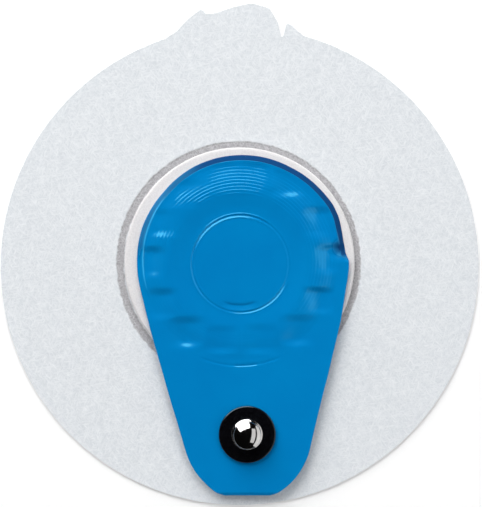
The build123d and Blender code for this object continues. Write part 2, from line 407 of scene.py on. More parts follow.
def sheet_relief(points):
    """How far the sheet's top departs from flat, for points in the plane."""
    off_ring = np.abs(np.hypot(*(points - PRESS_CENTRE).T) - PRESS_RADIUS)
    pressed = smooth_step(off_ring, *(PRESS_HALF_WIDTH + wall for wall in PRESS_WALL))
    waves = np.array([layered_noise(x, y, SHEET_WAVES) for x, y in points])
    return waves * WAVE_HEIGHT - WAVE_HEIGHT - pressed * PRESS_DEPTH


directions = np.stack([np.cos(np.radians(sheet_angles)), np.sin(np.radians(sheet_angles))], 1)
sheet_edge = sheet_centre + directions * sheet_reach[:, None]
plan = [directions * r for r in [*WELL_RINGS, *PRESS_RINGS]]
last_circle = plan[-1]
plan += [last_circle + (sheet_edge - last_circle) * share for share in OUTER_SHARES]

top_rings = [lifted(ring, sheet_top + sheet_relief(ring)) for ring in plan]
edge_rings = [
    lifted(sheet_edge, top_rings[-1][:, 2] - EDGE_ROUND),
    lifted(sheet_edge, EDGE_ROUND),
]
# The underside is flat, so every sixth ring is enough there.
bottom_rings = [lifted(ring, 0.0) for ring in plan[::-6]] + [lifted(plan[0], 0.0)]
sheet_skin = skin_of_rings(top_rings + edge_rings + bottom_rings, has_hole=True)
print("sheet rings:", len(top_rings), "on top")

# %% [markdown]
# ## Nonwoven finish
#
# Under the lamp the cloth shows a fine, directionless grain of fibres: a little lighter where
# fibres cross, a little darker between them. Long thin noise, laid in three directions and
# combined, reads as fibres better than round noise does. A slower noise clouds it, because the
# fibres never lie evenly. The pressed ring looks grey, since the flattened fibres let the glue
# show through.

# %% Draw fibres, colours and bumps from noise
FIBRE_TURNS = (10, 70, 130)


def fibre_field(nodes, links, place, width, stretch):
    """A grain of fibres: the strongest of three stretched noises, each turned another way."""
    strongest = None
    for turn in FIBRE_TURNS:
        mapping = nodes.new("ShaderNodeMapping")
        mapping.vector_type = "TEXTURE"
        mapping.inputs["Rotation"].default_value = (0, 0, math.radians(turn))
        mapping.inputs["Scale"].default_value = (width * stretch * MM, width * MM, width * MM)
        links.new(place, mapping.inputs["Vector"])
        grain = add_node(nodes, "ShaderNodeTexNoise", Scale=1.0, Detail=2.0, Roughness=0.55)
        links.new(mapping.outputs["Vector"], grain.inputs["Vector"])
        fibre = grain.outputs["Fac"]
        strongest = combined(nodes, links, "MAXIMUM", strongest, fibre) if strongest else fibre
    return strongest


def clouds(nodes, links, place, size, detail=3.0):
    """Round noise with patches of about this size in millimetres."""
    grain = add_node(nodes, "ShaderNodeTexNoise", Scale=1 / (size * MM), Detail=detail)
    links.new(place, grain.inputs["Vector"])
    return grain.outputs["Fac"]


def ramp_between(nodes, links, field, span, colours):
    ramp = nodes.new("ShaderNodeValToRGB")
    for element, position, colour in zip(ramp.color_ramp.elements, span, colours):
        element.position = position
        element.color = (*colour, 1.0)
    links.new(field, ramp.inputs["Fac"])
    return ramp.outputs["Color"]


def mixed(nodes, links, share, first, second, blend="MIX"):
    """Two colours mixed by a share. Each of the three may be a number, a colour or a socket."""
    mix = nodes.new("ShaderNodeMix")
    mix.data_type = "RGBA"
    mix.blend_type = blend
    for name, value in (("Factor", share), ("A", first), ("B", second)):
        if isinstance(value, bpy.types.NodeSocket):
            links.new(value, mix.inputs[name])
        else:
            mix.inputs[name].default_value = value if name == "Factor" else (*value, 1.0)
    return mix.outputs["Result"]


def bump_from(nodes, links, field, strength, height):
    bump = add_node(nodes, "ShaderNodeBump", Strength=strength, Distance=height * MM)
    links.new(field, bump.inputs["Height"])
    return bump.outputs["Normal"]


# %% Find the pressed ring in the finish
PRESS_WAVER = 0.5
PRESS_WAVER_SIZE = 0.7
PRESS_BLUR = (0.35, 0.15)


def in_metres(span):
    return [value * MM for value in span]


def distance_from(nodes, links, place, centre):
    """How far each point lies from an upright line through a centre, in metres."""
    shifted = add_node(nodes, "ShaderNodeVectorMath", operation="SUBTRACT")
    shifted.inputs[1].default_value = (*(np.asarray(centre) * MM), 0.0)
    links.new(place, shifted.inputs[0])
    flat = add_node(nodes, "ShaderNodeVectorMath", operation="MULTIPLY")
    flat.inputs[1].default_value = (1.0, 1.0, 0.0)
    links.new(shifted.outputs["Vector"], flat.inputs[0])
    away = add_node(nodes, "ShaderNodeVectorMath", operation="LENGTH")
    links.new(flat.outputs["Vector"], away.inputs[0])
    return away.outputs["Value"]


def off_circle(nodes, links, place, centre, radius):
    """How far each point lies from a circle round a centre, inside or out, in metres."""
    off = add_node(nodes, "ShaderNodeMath", operation="SUBTRACT")
    off.inputs[1].default_value = radius * MM
    links.new(distance_from(nodes, links, place, centre), off.inputs[0])
    distance = add_node(nodes, "ShaderNodeMath", operation="ABSOLUTE")
    links.new(off.outputs[0], distance.inputs[0])
    return distance.outputs[0]


def pressed_mask(nodes, links, place):
    """One on the pressed ring, with edges as uneven as the fibres."""
    waver = add_node(nodes, "ShaderNodeMath", operation="MULTIPLY_ADD")
    waver.inputs[1].default_value = PRESS_WAVER * MM
    links.new(clouds(nodes, links, place, PRESS_WAVER_SIZE), waver.inputs[0])
    links.new(off_circle(nodes, links, place, PRESS_CENTRE, PRESS_RADIUS), waver.inputs[2])
    fade = in_metres(PRESS_HALF_WIDTH + blur for blur in PRESS_BLUR)
    return remap(nodes, links, waver.outputs[0], fade)


# %% Mix the cloth and lay the sheet
CLOTH_WHITE = (0.865, 0.89, 0.915)
CLOTH_SHADE = (0.70, 0.735, 0.77)
CLOTH_SPAN = (0.42, 0.74)
PATCH_SHADE = (0.97, 0.972, 0.975)
PATCH_SIZE = 1.6
PRESSED_GREY = (0.31, 0.305, 0.32)
PRESSED_PALE = (0.64, 0.635, 0.655)
PRESSED_SPAN = (0.42, 0.76)
FIBRE_WIDTH = 0.2


def nonwoven_finish():
    material, nodes, links, shader = material_nodes("nonwoven_cloth")
    place = nodes.new("ShaderNodeTexCoord").outputs["Object"]
    fibres = fibre_field(nodes, links, place, FIBRE_WIDTH, stretch=4.0)
    cloth = ramp_between(nodes, links, fibres, CLOTH_SPAN, (CLOTH_SHADE, CLOTH_WHITE))
    cloud = clouds(nodes, links, place, PATCH_SIZE)
    patches = ramp_between(nodes, links, cloud, (0.3, 0.7), (PATCH_SHADE, (1.0, 1.0, 1.0)))
    cloth = mixed(nodes, links, 1.0, cloth, patches, "MULTIPLY")
    grey = ramp_between(nodes, links, fibres, PRESSED_SPAN, (PRESSED_GREY, PRESSED_PALE))
    colour = mixed(nodes, links, pressed_mask(nodes, links, place), cloth, grey)
    links.new(colour, shader.inputs["Base Color"])
    links.new(bump_from(nodes, links, fibres, 0.35, 0.05), shader.inputs["Normal"])
    shader.inputs["Roughness"].default_value = 0.92
    shader.inputs["Specular IOR Level"].default_value = 0.15
    return material


sheet = add_piece("nonwoven_sheet", sheet_skin, nonwoven_finish(), "backing_sheet", 40.0)

# %% [markdown]
# ## The foam ring
#
# Round the gel well sits a ring of closed-cell foam, cut with a die. Its land carries the film
# and, in a shallow cut, the conductor strip; a lower edge shows round the film's head. We spin its
# section as rings, soften the cut edges, and let a little noise stand for the skin of fine cells.

# %% Place the film's blank, which the foam's land follows
FILM_SHIFT = 0.4
HEAD_RISE = 0.3
FOLD_RADIUS = 14.8
film_turn = math.atan2(stud_centre[0] - FILM_SHIFT, -stud_centre[1])
up_the_film = np.array([-math.sin(film_turn), math.cos(film_turn)])
head_centre = np.array([FILM_SHIFT, 0.0]) + HEAD_RISE * up_the_film
print("film turned", round(math.degrees(film_turn), 2), "degrees, head at", head_centre.round(3))

# %% Spin the foam
FOAM_AROUND = 360
LAND_RADIUS = 14.0
CELL_HEIGHT = 0.012
CELL_SCALE = 1.7
land_top = strip_low[2]
foam_turns = np.linspace(0, 2 * math.pi, FOAM_AROUND, endpoint=False)
foam_plan = np.stack([np.cos(foam_turns), np.sin(foam_turns)], 1)

LAND_SECTION = [
    (LAND_RADIUS - 0.06, land_top), (LAND_RADIUS, land_top - 0.06),
    (LAND_RADIUS + 0.02, foam_edge_top + 0.03), (LAND_RADIUS + 0.08, foam_edge_top),
]
EDGE_SECTION = [
    (foam_radius - 0.8, foam_edge_top), (foam_radius - 0.5, foam_edge_top),
    (foam_radius - 0.3, foam_edge_top - 0.01), (foam_radius - 0.17, foam_edge_top - 0.04),
    (foam_radius - 0.07, foam_edge_top - 0.11), (foam_radius - 0.02, foam_edge_top - 0.2),
    (foam_radius, foam_edge_top - 0.32), (foam_radius, sheet_top + 0.1),
]
WELL_SECTION = [
    (foam_radius, sheet_top), (GEL_RADIUS, sheet_top),
    (GEL_RADIUS, land_top - 0.05), (GEL_RADIUS + 0.05, land_top),
]


def foam_rings(section, centre=(0.0, 0.0)):
    return [lifted(np.asarray(centre) + foam_plan * radius, level) for radius, level in section]


edge_skin = foam_rings(EDGE_SECTION)
for ring in edge_skin:
    ring[:, 2] -= [CELL_HEIGHT * abs(noise.noise(Vector(p) * CELL_SCALE)) for p in ring]
foam_skin = skin_of_rings(
    foam_rings(LAND_SECTION, head_centre) + edge_skin + foam_rings(WELL_SECTION), has_hole=True
)
print("foam of", len(foam_skin[0]), "points")

# %% Give it a skin of cells
FOAM_PALE = (0.83, 0.815, 0.82)
FOAM_SHADE = (0.73, 0.715, 0.725)
CELLS_PER_METRE = 5200.0


def foam_finish():
    material, nodes, links, shader = material_nodes("closed_cell_foam")
    place = nodes.new("ShaderNodeTexCoord").outputs["Object"]
    cells = add_node(nodes, "ShaderNodeTexVoronoi", Scale=CELLS_PER_METRE)
    links.new(place, cells.inputs["Vector"])
    size = cells.outputs["Distance"]
    colour = ramp_between(nodes, links, size, (0.1, 0.9), (FOAM_PALE, FOAM_SHADE))
    links.new(colour, shader.inputs["Base Color"])
    links.new(bump_from(nodes, links, size, 0.2, 0.03), shader.inputs["Normal"])
    shader.inputs["Roughness"].default_value = 0.7
    shader.inputs["Specular IOR Level"].default_value = 0.3
    return material


foam = add_piece("foam_collar", foam_skin, foam_finish(), "foam_ring", 35.0)

# %% [markdown]
# ## The film's outline
#
# The blue film is the showpiece: a drop-shaped blank, its head as round as the foam, its tail
# running out under the stud to a straight end. It is the outline of a circle that slides from the
# head to the stud while it shrinks. For each direction we slide that circle and keep the
# farthest point it reaches. Where the rim was turned down, the outline drew in a little, which
# leaves a small shoulder on the right.

# %% Slide a shrinking circle from head to tail
BLANK_RADIUS = 15.25
TAIL_RADIUS = 9.16
FOLD_INSET = 0.35
FOLD_BEARINGS = [-30, 0.5, 5.0, 180, 218]
FOLD_SHARES = [0.0, 0.3, 1.0, 1.0, 0.0]
BOWS = [
    (-85, 0.0), (-80.5, 0.26), (-72, 0.0), (-66, 0.0), (-52, 0.24), (-30, 0.28), (-12, 0.0),
    (1, 0.0), (5, -0.2), (12, -0.3), (18.5, -0.14), (25, 0.1), (32, 0.2), (40, 0.1), (62, 0.0),
    (80, 0.06), (115, 0.08), (126, 0.0), (137, -0.08), (147, -0.03), (160, 0.06), (180, 0.05),
    (195, 0.0), (244, 0.0), (250, -0.14), (255, -0.2), (258, -0.12), (261, 0.0), (264.5, 0.26),
    (268, 0.0),
]
TAIL_END = film_low[1] - 0.12
TAIL_SECTOR = (256, 288)
SIDE_STEP, TAIL_STEP = 0.82, 0.36
SLIDE_STEPS = 160
STEEP_RAY = -0.2
side_degrees = np.arange(TAIL_SECTOR[1] - 360, TAIL_SECTOR[0], SIDE_STEP)
film_degrees = np.concatenate([side_degrees, np.arange(*TAIL_SECTOR, TAIL_STEP)])
film_rays = np.stack([np.cos(np.radians(film_degrees)), np.sin(np.radians(film_degrees))], 1)


def blank_reach(rays):
    """How far the blank runs from the gel well's middle along each ray."""
    share = np.linspace(0, 1, SLIDE_STEPS)
    centres = head_centre + (stud_centre - head_centre) * share[:, None]
    radii = BLANK_RADIUS + (TAIL_RADIUS - BLANK_RADIUS) * share
    along = centres @ rays.T
    inside = along**2 + (radii**2 - (centres**2).sum(1))[:, None]
    return np.where(inside > 0, along + np.sqrt(np.maximum(inside, 0)), 0).max(0)


bearings = (film_degrees + 90) % 360 - 90
film_reach = blank_reach(film_rays) - FOLD_INSET * np.interp(bearings, FOLD_BEARINGS, FOLD_SHARES)
film_reach += np.interp(bearings, *np.array(BOWS).T)
to_end = TAIL_END / np.minimum(film_rays[:, 1], STEEP_RAY)
film_reach = np.where(film_rays[:, 1] < STEEP_RAY, np.minimum(film_reach, to_end), film_reach)
print("film outline of", len(film_rays), "points, reach", round(film_reach.max(), 2), "mm")

# %% [markdown]
# ## The film's relief
#
# A hot press drew the film over a tool: a broad ridge round the gel well, fourteen thumb-like
# dents in its outer shoulder, a coined groove over the well's rim, a turned-down rim over the foam.
# The tool was turned on a lathe, and where it pressed hardest its fine grooves printed through as
# hair-thin rings that catch the light. Each of these is one small height function, and their sum
# is the relief.

# %% The ridge and the marks of the tool
RIDGE_BEARINGS = [-150, -115, -65, -30]
RIDGE_SHARES = [0.62, 0.36, 0.36, 0.62]
RIDGE_FOOT = GEL_RADIUS + 0.2
RIDGE_CREST = (10.6, 11.2)
RIDGE_EDGE = 14.0
MARK_START = (9.5, 9.8)
MARK_STOP = (13.95, 13.6)
MARK_PITCH = 0.46
MARK_HEIGHT = 0.034
MARK_RISER = 0.8
MARK_SHARES = np.array([
    (-60, 0.1), (-40, 0.38), (40, 0.3), (52, 0.6), (58, 0.6), (64, 0.15), (70, 0.2), (78, 1.0),
    (100, 1.0), (112, 0.8), (119, 1.5), (130, 1.5), (140, 0.2), (150, 0.2), (156, 0.6), (168, 0.6),
    (178, 0.15),
])
MARK_FADE = ([9.8, 10.4, 11.2, 12.0, 13.6], [0.7, 1.1, 1.1, 0.75, 0.6])
MARK_BAND = ([123, 132, 140], [11.0, 12.4, 12.8])
MARK_BAND_HALF = 0.9
MARK_BAND_SPAN = ([100, 114, 140, 150], [0.0, 1.0, 1.0, 0.0])


def hump(distance, width):
    return np.exp(-((distance / width) ** 2))


def ridge_at(r, degrees):
    inner = smooth_step(r, RIDGE_FOOT, RIDGE_CREST[0])
    share = np.interp(degrees, RIDGE_BEARINGS, RIDGE_SHARES)
    return share * ridge_height * inner * smooth_step(r, RIDGE_EDGE, RIDGE_CREST[1])


def tool_marks_at(r, degrees):
    """Fine saw teeth: each climbs slowly outward and drops at its end. Shares by bearing and by
    radius say how hard the tool pressed; on the left only a narrow band of teeth printed."""
    tooth = (r - MARK_START[0]) / MARK_PITCH % 1.0
    climb = np.where(tooth < MARK_RISER, tooth / MARK_RISER, 1 - smooth_step(tooth, MARK_RISER, 1.0))
    shown = smooth_step(r, *MARK_START) * smooth_step(r, *MARK_STOP)
    pressed = np.interp(degrees, *MARK_SHARES.T) * np.interp(r, *MARK_FADE)
    narrowed = np.interp(degrees, *MARK_BAND_SPAN)
    band = hump(r - np.interp(degrees, *MARK_BAND), MARK_BAND_HALF)
    return MARK_HEIGHT * shown * pressed * climb * (1 - narrowed + narrowed * band)


print("ridge", round(max(RIDGE_SHARES) * ridge_height, 2), "mm high, a mark every", MARK_PITCH, "mm")

# %% The dents
DENT_SEED = 14
DENT_COUNT = 14
DENT_START = 1.0
DENT_RING = 12.45
DENT_WIDE = (2.3, 3.7)
DENT_TALL = 2.35
DENT_DEPTH = 0.29
DENT_FLOOR = 0.45
TURN_PLAY = (-1.5, 1.5)
RING_PLAY = (-0.15, 0.15)
TALL_PLAY = (0.92, 1.08)
DEPTH_PLAY = (0.85, 1.15)
# Rows of bearing, share of the depth, lean towards the finger tab, shift outward and turn.
DENT_ROWS = np.array([
    (-160, 1.1, 0.7, 0.0, 0), (-128, 1.2, 0.05, 0.0, 0), (-102, 0.7, -0.3, -1.2, 0),
    (-76, 0.7, -0.3, -1.2, 0), (-51, 1.0, 0.05, 0.0, 0), (-25, 1.1, 0.6, 0.0, 0),
    (40, 0.8, 0.6, 0.0, 0), (52, 0.8, -0.6, 0.9, 7), (60, 0.4, 0.6, 0.0, 0),
    (135, 0.4, 0.6, 0.0, 0), (150, 0.6, -0.35, 0.0, -3),
])


def dents_at(x, y):
    """How deep the thumb-like dents are: wide and flat-floored, no two quite alike."""
    draw = np.random.default_rng(DENT_SEED)
    depth = np.zeros_like(x)
    for k in range(DENT_COUNT):
        bearing = (DENT_START + k * 360 / DENT_COUNT + 180) % 360 - 180
        columns = DENT_ROWS.T
        share, lean, shift, turn = [np.interp(bearing, columns[0], c) for c in columns[1:]]
        angle = math.radians(bearing + turn + draw.uniform(*TURN_PLAY))
        out = np.array([math.cos(angle), math.sin(angle)])
        ring = DENT_RING + draw.uniform(*RING_PLAY) + shift
        wide = DENT_WIDE[0] + (DENT_WIDE[1] - DENT_WIDE[0]) * abs(out[1])
        dx = (x - ring * out[0]) / wide
        dy = (y - ring * out[1]) / (DENT_TALL * draw.uniform(*TALL_PLAY))
        wall = smooth_step(np.abs(dx), 1.0, 0.0) * smooth_step(np.abs(dy), 1.0, DENT_FLOOR)
        deep = DENT_DEPTH * draw.uniform(*DEPTH_PLAY) * share
        depth = np.maximum(depth, deep * wall * (1 + lean * dy))
    return depth


print("a dent every", round(360 / DENT_COUNT, 1), "degrees")

# %% The coined groove and the creases
GROOVE_CENTRE = (0.12, -0.2)
GROOVE_RADIUS = GEL_RADIUS - 0.13
GROOVE_DEPTH = 0.09
GROOVE_WIDTH = 0.12
GROOVE_SHARES = np.array([
    (-180, 0.8), (-105, 0.5), (-75, 1.0), (-40, 1.0), (-20, 0.35), (45, 0.35), (65, 1.0),
    (135, 1.0), (180, 0.8),
])
LIP_HEIGHTS = ([40, 65, 125, 150], [0.02, 0.055, 0.055, 0.02])
LIP_OFFSET = 0.28
LIP_WIDTH = 0.1
# Rows of radius, bearing, half span, fade at the ends, depth, inner width and outer width.
CREASES = [
    (14.65, -90.0, 26.0, 8.0, 0.035, 0.35, 0.18),
    (14.65, -86.7, 7.0, 2.0, 0.06, 0.35, 0.18),
    (6.05, -90.0, 26.0, 14.0, 0.13, 0.22, 0.85),
]
PUCKER_AT = 14.3
PUCKER_HALF = (2.1, 0.2)
PUCKER_LEVELS = (3.0, 1.8, 0.0)
PUCKER_DEPTH = 0.26


def groove_at(x, y, degrees):
    """A coined groove a little off the well's middle, with a lip pushed up on either side."""
    off = np.hypot(x - GROOVE_CENTRE[0], y - GROOVE_CENTRE[1]) - GROOVE_RADIUS
    lips = np.interp(degrees, *LIP_HEIGHTS) * hump(np.abs(off) - LIP_OFFSET, LIP_WIDTH)
    profile = lips - GROOVE_DEPTH * hump(off, GROOVE_WIDTH)
    return profile * np.interp(degrees, *GROOVE_SHARES.T)


def creases_at(x, y, r, degrees):
    """Creases along arcs, and the pucker where the rim's right end is tucked in."""
    start, middle, end = PUCKER_LEVELS
    pucker = smooth_step(y, start, middle) * smooth_step(y, end, middle)
    depth = PUCKER_DEPTH * pucker * smooth_step(np.abs(x - PUCKER_AT), *PUCKER_HALF)
    for radius, bearing, half_span, fade, deep, drop, rise in CREASES:
        off = np.abs((degrees - bearing + 180) % 360 - 180)
        trough = smooth_step(r, radius - drop, radius) * smooth_step(r, radius + rise, radius)
        depth = depth + deep * smooth_step(off, half_span, half_span - fade) * trough
    return depth


print("groove", GROOVE_DEPTH, "mm deep at a radius of", round(GROOVE_RADIUS, 2), "mm")

# %% The turned-down rim
RIM_SPAN = ([0.5, 6.0, 180, 206], [0.0, 1.0, 1.0, 0.0])
RIM_STEEPNESS = ([148, 166], [1.0, 0.0])
STEEP_WIDTH = 0.84
STEEP_TOE = 0.06
STEEP_DROP = 1.52
SHOULDER = 0.15
EASY_WIDTH = 0.75
EASY_DROP = 0.7
BEAD_SPAN = ([136, 146, 196, 203], [0.0, 1.0, 1.0, 0.0])
BEAD_INSET = 0.67
BEAD_HEIGHT = 0.045
BEAD_WIDTH = 0.13
END_BEVEL = (0.5, 0.21)
UNDER_SHARE = 0.5
rim_drop = film_seat - foam_edge_top
by_bearing = np.argsort(bearings)


def rim_at(x, y):
    """How far the rim is turned down: steep at the top and right, an easy slope on the left."""
    degrees = (np.degrees(np.arctan2(y, x)) + 90) % 360 - 90
    inset = np.interp(degrees, bearings[by_bearing], film_reach[by_bearing]) - np.hypot(x, y)
    down = np.clip((STEEP_WIDTH - inset) / (STEEP_WIDTH - STEEP_TOE), 0.0, 1.0)
    wall = np.where(down < SHOULDER, down**2 / (2 * SHOULDER), down - SHOULDER / 2)
    slope = smooth_step(inset, EASY_WIDTH, 0.0)
    steep = np.interp(degrees, *RIM_STEEPNESS)
    fall = STEEP_DROP * steep * wall + EASY_DROP * (1 - steep) * slope
    return rim_drop * np.interp(degrees, *RIM_SPAN) * fall


def bead_at(x, y):
    """The thin bead that the fold leaves on the left."""
    dx, dy = x - head_centre[0], y - head_centre[1]
    degrees = np.degrees(np.arctan2(dy, dx)) % 360
    inset = FOLD_RADIUS - np.hypot(dx, dy)
    return BEAD_HEIGHT * np.interp(degrees, *BEAD_SPAN) * hump(inset - BEAD_INSET, BEAD_WIDTH)


def underside_at(x, y):
    """The underside follows half of the ridge, and the rim lies down on the foam's edge."""
    ridge = ridge_at(np.hypot(x, y), np.degrees(np.arctan2(y, x)))
    return film_seat + UNDER_SHARE * ridge - np.minimum(rim_at(x, y), rim_drop)


def film_height(x, y):
    """The level of the film's top: the sum of its relief."""
    r = np.hypot(x, y)
    degrees = np.degrees(np.arctan2(y, x))
    height = ridge_at(r, degrees) - dents_at(x, y) + tool_marks_at(r, degrees)
    height -= END_BEVEL[1] * smooth_step(y, TAIL_END + END_BEVEL[0], TAIL_END)
    height += groove_at(x, y, degrees) + bead_at(x, y)
    return film_top + height - creases_at(x, y, r, degrees) - rim_at(x, y)


print("rim laid down by", round(rim_drop, 2), "mm onto the foam's edge")

# %% Set out the film's rings from the middle to the edge
DISC_RADII = [0.7, 2.0, 3.4, 4.6, 5.2, 5.5, 5.75, 5.9, 6.0]
GROOVE_RADII = np.linspace(6.1, 7.6, 31)
SLOPE_RADII = np.linspace(7.75, 9.3, 7)
TOOTH_COUNT = 9
TOOTH_STEPS = np.array([0.0, 0.4, 0.8, 0.85, 0.9, 0.95])
LAST_RADII = [13.7, 13.85]
TAIL_RADII = np.array([
    13.95, 14.1, 14.25, 14.4, 14.5, 14.57, 14.63, 14.69, 14.75, 14.81, 14.88, 14.98, 15.15, 15.4,
    15.8, 16.4, 17.2, 18.2, 19.6, 21.4, 23.6, 26.2, 29.0,
])
EDGE_STEPS = [
    1.0, 0.94, 0.9, 0.87, 0.85, 0.83, 0.81, 0.79, 0.77, 0.75, 0.73, 0.7, 0.66, 0.6, 0.52, 0.45, 0.38,
    0.3, 0.23, 0.17, 0.13, 0.1, 0.06, 0.02, 0.0,
]
SQUEEZE_FROM = 12.0
SQUEEZE_GAP = 0.05
teeth = np.arange(TOOTH_COUNT)[:, None] + TOOTH_STEPS
mark_radii = (MARK_START[0] + MARK_PITCH * teeth).ravel()
centre_radii = np.array([*DISC_RADII, *GROOVE_RADII, *SLOPE_RADII, *mark_radii, *LAST_RADII])
squeezed = np.maximum(centre_radii - SQUEEZE_FROM, 0.0)
flat_reach = film_reach - EDGE_STEPS[0]
room = np.minimum((flat_reach - SQUEEZE_GAP - SQUEEZE_FROM) / squeezed[-1], 1.0)
inner_reach = [r - beyond + beyond * room for r, beyond in zip(centre_radii, squeezed)]
film_plan = [film_rays * reach[:, None] for reach in inner_reach]
for share in (TAIL_RADII - centre_radii[-1]) / (flat_reach.max() - centre_radii[-1]):
    film_plan.append(film_rays * (inner_reach[-1] + (flat_reach - inner_reach[-1]) * share)[:, None])
film_plan += [film_rays * (film_reach - inset)[:, None] for inset in EDGE_STEPS]
print("film plan of", len(film_plan), "rings")

# %% Lift the rings, round the edge and close the skin underneath
FILM_EDGE_ROUND = 0.14
FILM_THINNEST = 0.03
film_top_rings = [lifted(ring, film_height(*ring.T)) for ring in film_plan]
insets = [FILM_EDGE_ROUND] * (len(film_plan) - len(EDGE_STEPS)) + EDGE_STEPS
for ring, inset in zip(film_top_rings, insets):
    short = max(FILM_EDGE_ROUND - inset, 0.0)
    ring[:, 2] -= FILM_EDGE_ROUND - math.sqrt(FILM_EDGE_ROUND**2 - short**2)
    ring[:, 2] = np.maximum(ring[:, 2], underside_at(*ring[:, :2].T) + FILM_THINNEST)
# Back underneath, every sixth ring of the rim and tail and every fourteenth further in is enough.
under_plan = [film_plan[-1], *film_plan[-3:-45:-6], *film_plan[-46::-14]]
film_under_rings = [lifted(ring, underside_at(*ring.T)) for ring in under_plan]
film_skin = skin_of_rings(film_top_rings + film_under_rings, has_hole=False)
print("film rings:", len(film_top_rings), "on top,", len(film_under_rings), "underneath")

# %% [markdown]
# ## Blue film finish
#
# The film is coloured through and glossy, with the faint haze that forming leaves. A mid blue
# under a clear reflection does most of it. Where the rim stands steep on its upper side, the blue
# is darkened with painted shade, though part of that deeper blue is the colour seen through more of
# the film; drawing has dulled the skin there, so it goes hazy. A spot of painted shade darkens the
# rim's right end, where the film is tucked in. A painted highlight pales a line along the bead on
# the left. Roughness that wavers a little from place to place keeps the rest from looking like paint.

# %% Mix the blue and lay the film
FILM_BLUE = (0.0004, 0.24, 0.6)
FILM_CLOUD = (0.0004, 0.222, 0.575)
CLOUD_SIZE = 6.0
HAZE_SIZE = 1.1
# Painted shade: the dark blue laid on the rim wall's shaded side and on the pucker.
FILM_WALL_SHADE = (0.0004, 0.03, 0.16)
WALL_TURN = (0.985, 0.86)
WALL_FROM = (13.8, 14.1)
WALL_ABOVE = (0.2, 1.2)
SHADED_SIDE = -10
SHADED_FROM = (-0.95, -0.3)
# Centre and fade of the painted shade at the pucker.
PUCKER_SHADE_AT = (14.45, 2.15)
PUCKER_SHADE_REACH = (1.6, 0.35)
FILM_GLINT = (0.2, 0.85, 1.0, 1.0)
FILM_ROUGHNESS = (0.1, 0.2)
WALL_ROUGHNESS = (0.0, 0.95)
# Painted highlight: the paler blue line along the bead on the left.
FILM_CREASE_HIGHLIGHT = (0.03, 0.42, 0.84)
CREASE_HIGHLIGHT_HALF = 0.16
CREASE_HIGHLIGHT_BEARING = 169
CREASE_HIGHLIGHT_REACH = (12.0, 12.9)


def facing_share(nodes, links, direction, span):
    """How far faces turn towards a direction, as a share of the way through a span."""
    facing = nodes.new("ShaderNodeNewGeometry")
    towards = add_node(nodes, "ShaderNodeVectorMath", operation="DOT_PRODUCT")
    towards.inputs[1].default_value = direction
    links.new(facing.outputs["Normal"], towards.inputs[0])
    return remap(nodes, links, towards.outputs["Value"], span)


def lying_towards(nodes, links, place, bearing, reaches):
    """How far a place lies towards a bearing, as a share of the way between two reaches."""
    turn = math.radians(bearing)
    along = add_node(nodes, "ShaderNodeVectorMath", operation="DOT_PRODUCT")
    along.inputs[1].default_value = (math.cos(turn), math.sin(turn), 0.0)
    links.new(place, along.inputs[0])
    return remap(nodes, links, along.outputs["Value"], in_metres(reaches))


def painted_wall_shade(nodes, links, place):
    """Painted shade: one where the turned-down rim stands steep on its upper side, fading out towards
    the left.
    """
    turn = math.radians(SHADED_SIDE)
    steep = facing_share(nodes, links, (0.0, 0.0, 1.0), WALL_TURN)
    turned = facing_share(nodes, links, (math.cos(turn), math.sin(turn), 0.0), SHADED_FROM)
    away = distance_from(nodes, links, place, head_centre)
    outside = remap(nodes, links, away, in_metres(WALL_FROM))
    above = lying_towards(nodes, links, place, 90, WALL_ABOVE)
    wall = combined(nodes, links, "MULTIPLY", steep, turned)
    wall = combined(nodes, links, "MULTIPLY", wall, outside)
    return combined(nodes, links, "MULTIPLY", wall, above)


def painted_pucker_shade(nodes, links, place):
    """Painted shade: one at the end of the turned-down rim, where the film is tucked in."""
    away = distance_from(nodes, links, place, PUCKER_SHADE_AT)
    return remap(nodes, links, away, in_metres(PUCKER_SHADE_REACH))


def painted_crease_highlight(nodes, links, place):
    """Painted highlight: one along the bead on the left."""
    off = off_circle(nodes, links, place, head_centre, FOLD_RADIUS - BEAD_INSET)
    line = remap(nodes, links, off, (CREASE_HIGHLIGHT_HALF * MM, 0.0))
    on_left = lying_towards(nodes, links, place, CREASE_HIGHLIGHT_BEARING, CREASE_HIGHLIGHT_REACH)
    return combined(nodes, links, "MULTIPLY", line, on_left)


def blue_film_finish():
    material, nodes, links, shader = material_nodes("formed_blue_film")
    place = nodes.new("ShaderNodeTexCoord").outputs["Object"]
    cloud = clouds(nodes, links, place, CLOUD_SIZE, detail=4.0)
    flat_blue = ramp_between(nodes, links, cloud, (0.35, 0.7), (FILM_CLOUD, FILM_BLUE))
    # Painted shade: the steep rim wall on its shaded side and a spot at the pucker darken the blue.
    spot = painted_pucker_shade(nodes, links, place)
    deep = combined(nodes, links, "MAXIMUM", painted_wall_shade(nodes, links, place), spot)
    colour = mixed(nodes, links, deep, flat_blue, FILM_WALL_SHADE)
    # A painted highlight along the bead on the left.
    colour = mixed(nodes, links, painted_crease_highlight(nodes, links, place), colour, FILM_CREASE_HIGHLIGHT)
    links.new(colour, shader.inputs["Base Color"])
    haze = clouds(nodes, links, place, HAZE_SIZE)
    hazy = remap(nodes, links, haze, (0.0, 1.0), FILM_ROUGHNESS)
    drawn = remap(nodes, links, deep, (0.0, 1.0), WALL_ROUGHNESS)
    links.new(combined(nodes, links, "MAXIMUM", hazy, drawn), shader.inputs["Roughness"])
    links.new(bump_from(nodes, links, haze, 0.05, 0.02), shader.inputs["Normal"])
    shader.inputs["IOR"].default_value = 1.6
    shader.inputs["Specular IOR Level"].default_value = 0.8
    shader.inputs["Specular Tint"].default_value = FILM_GLINT
    return material


add_piece("formed_film", film_skin, blue_film_finish(), "carrier_film")

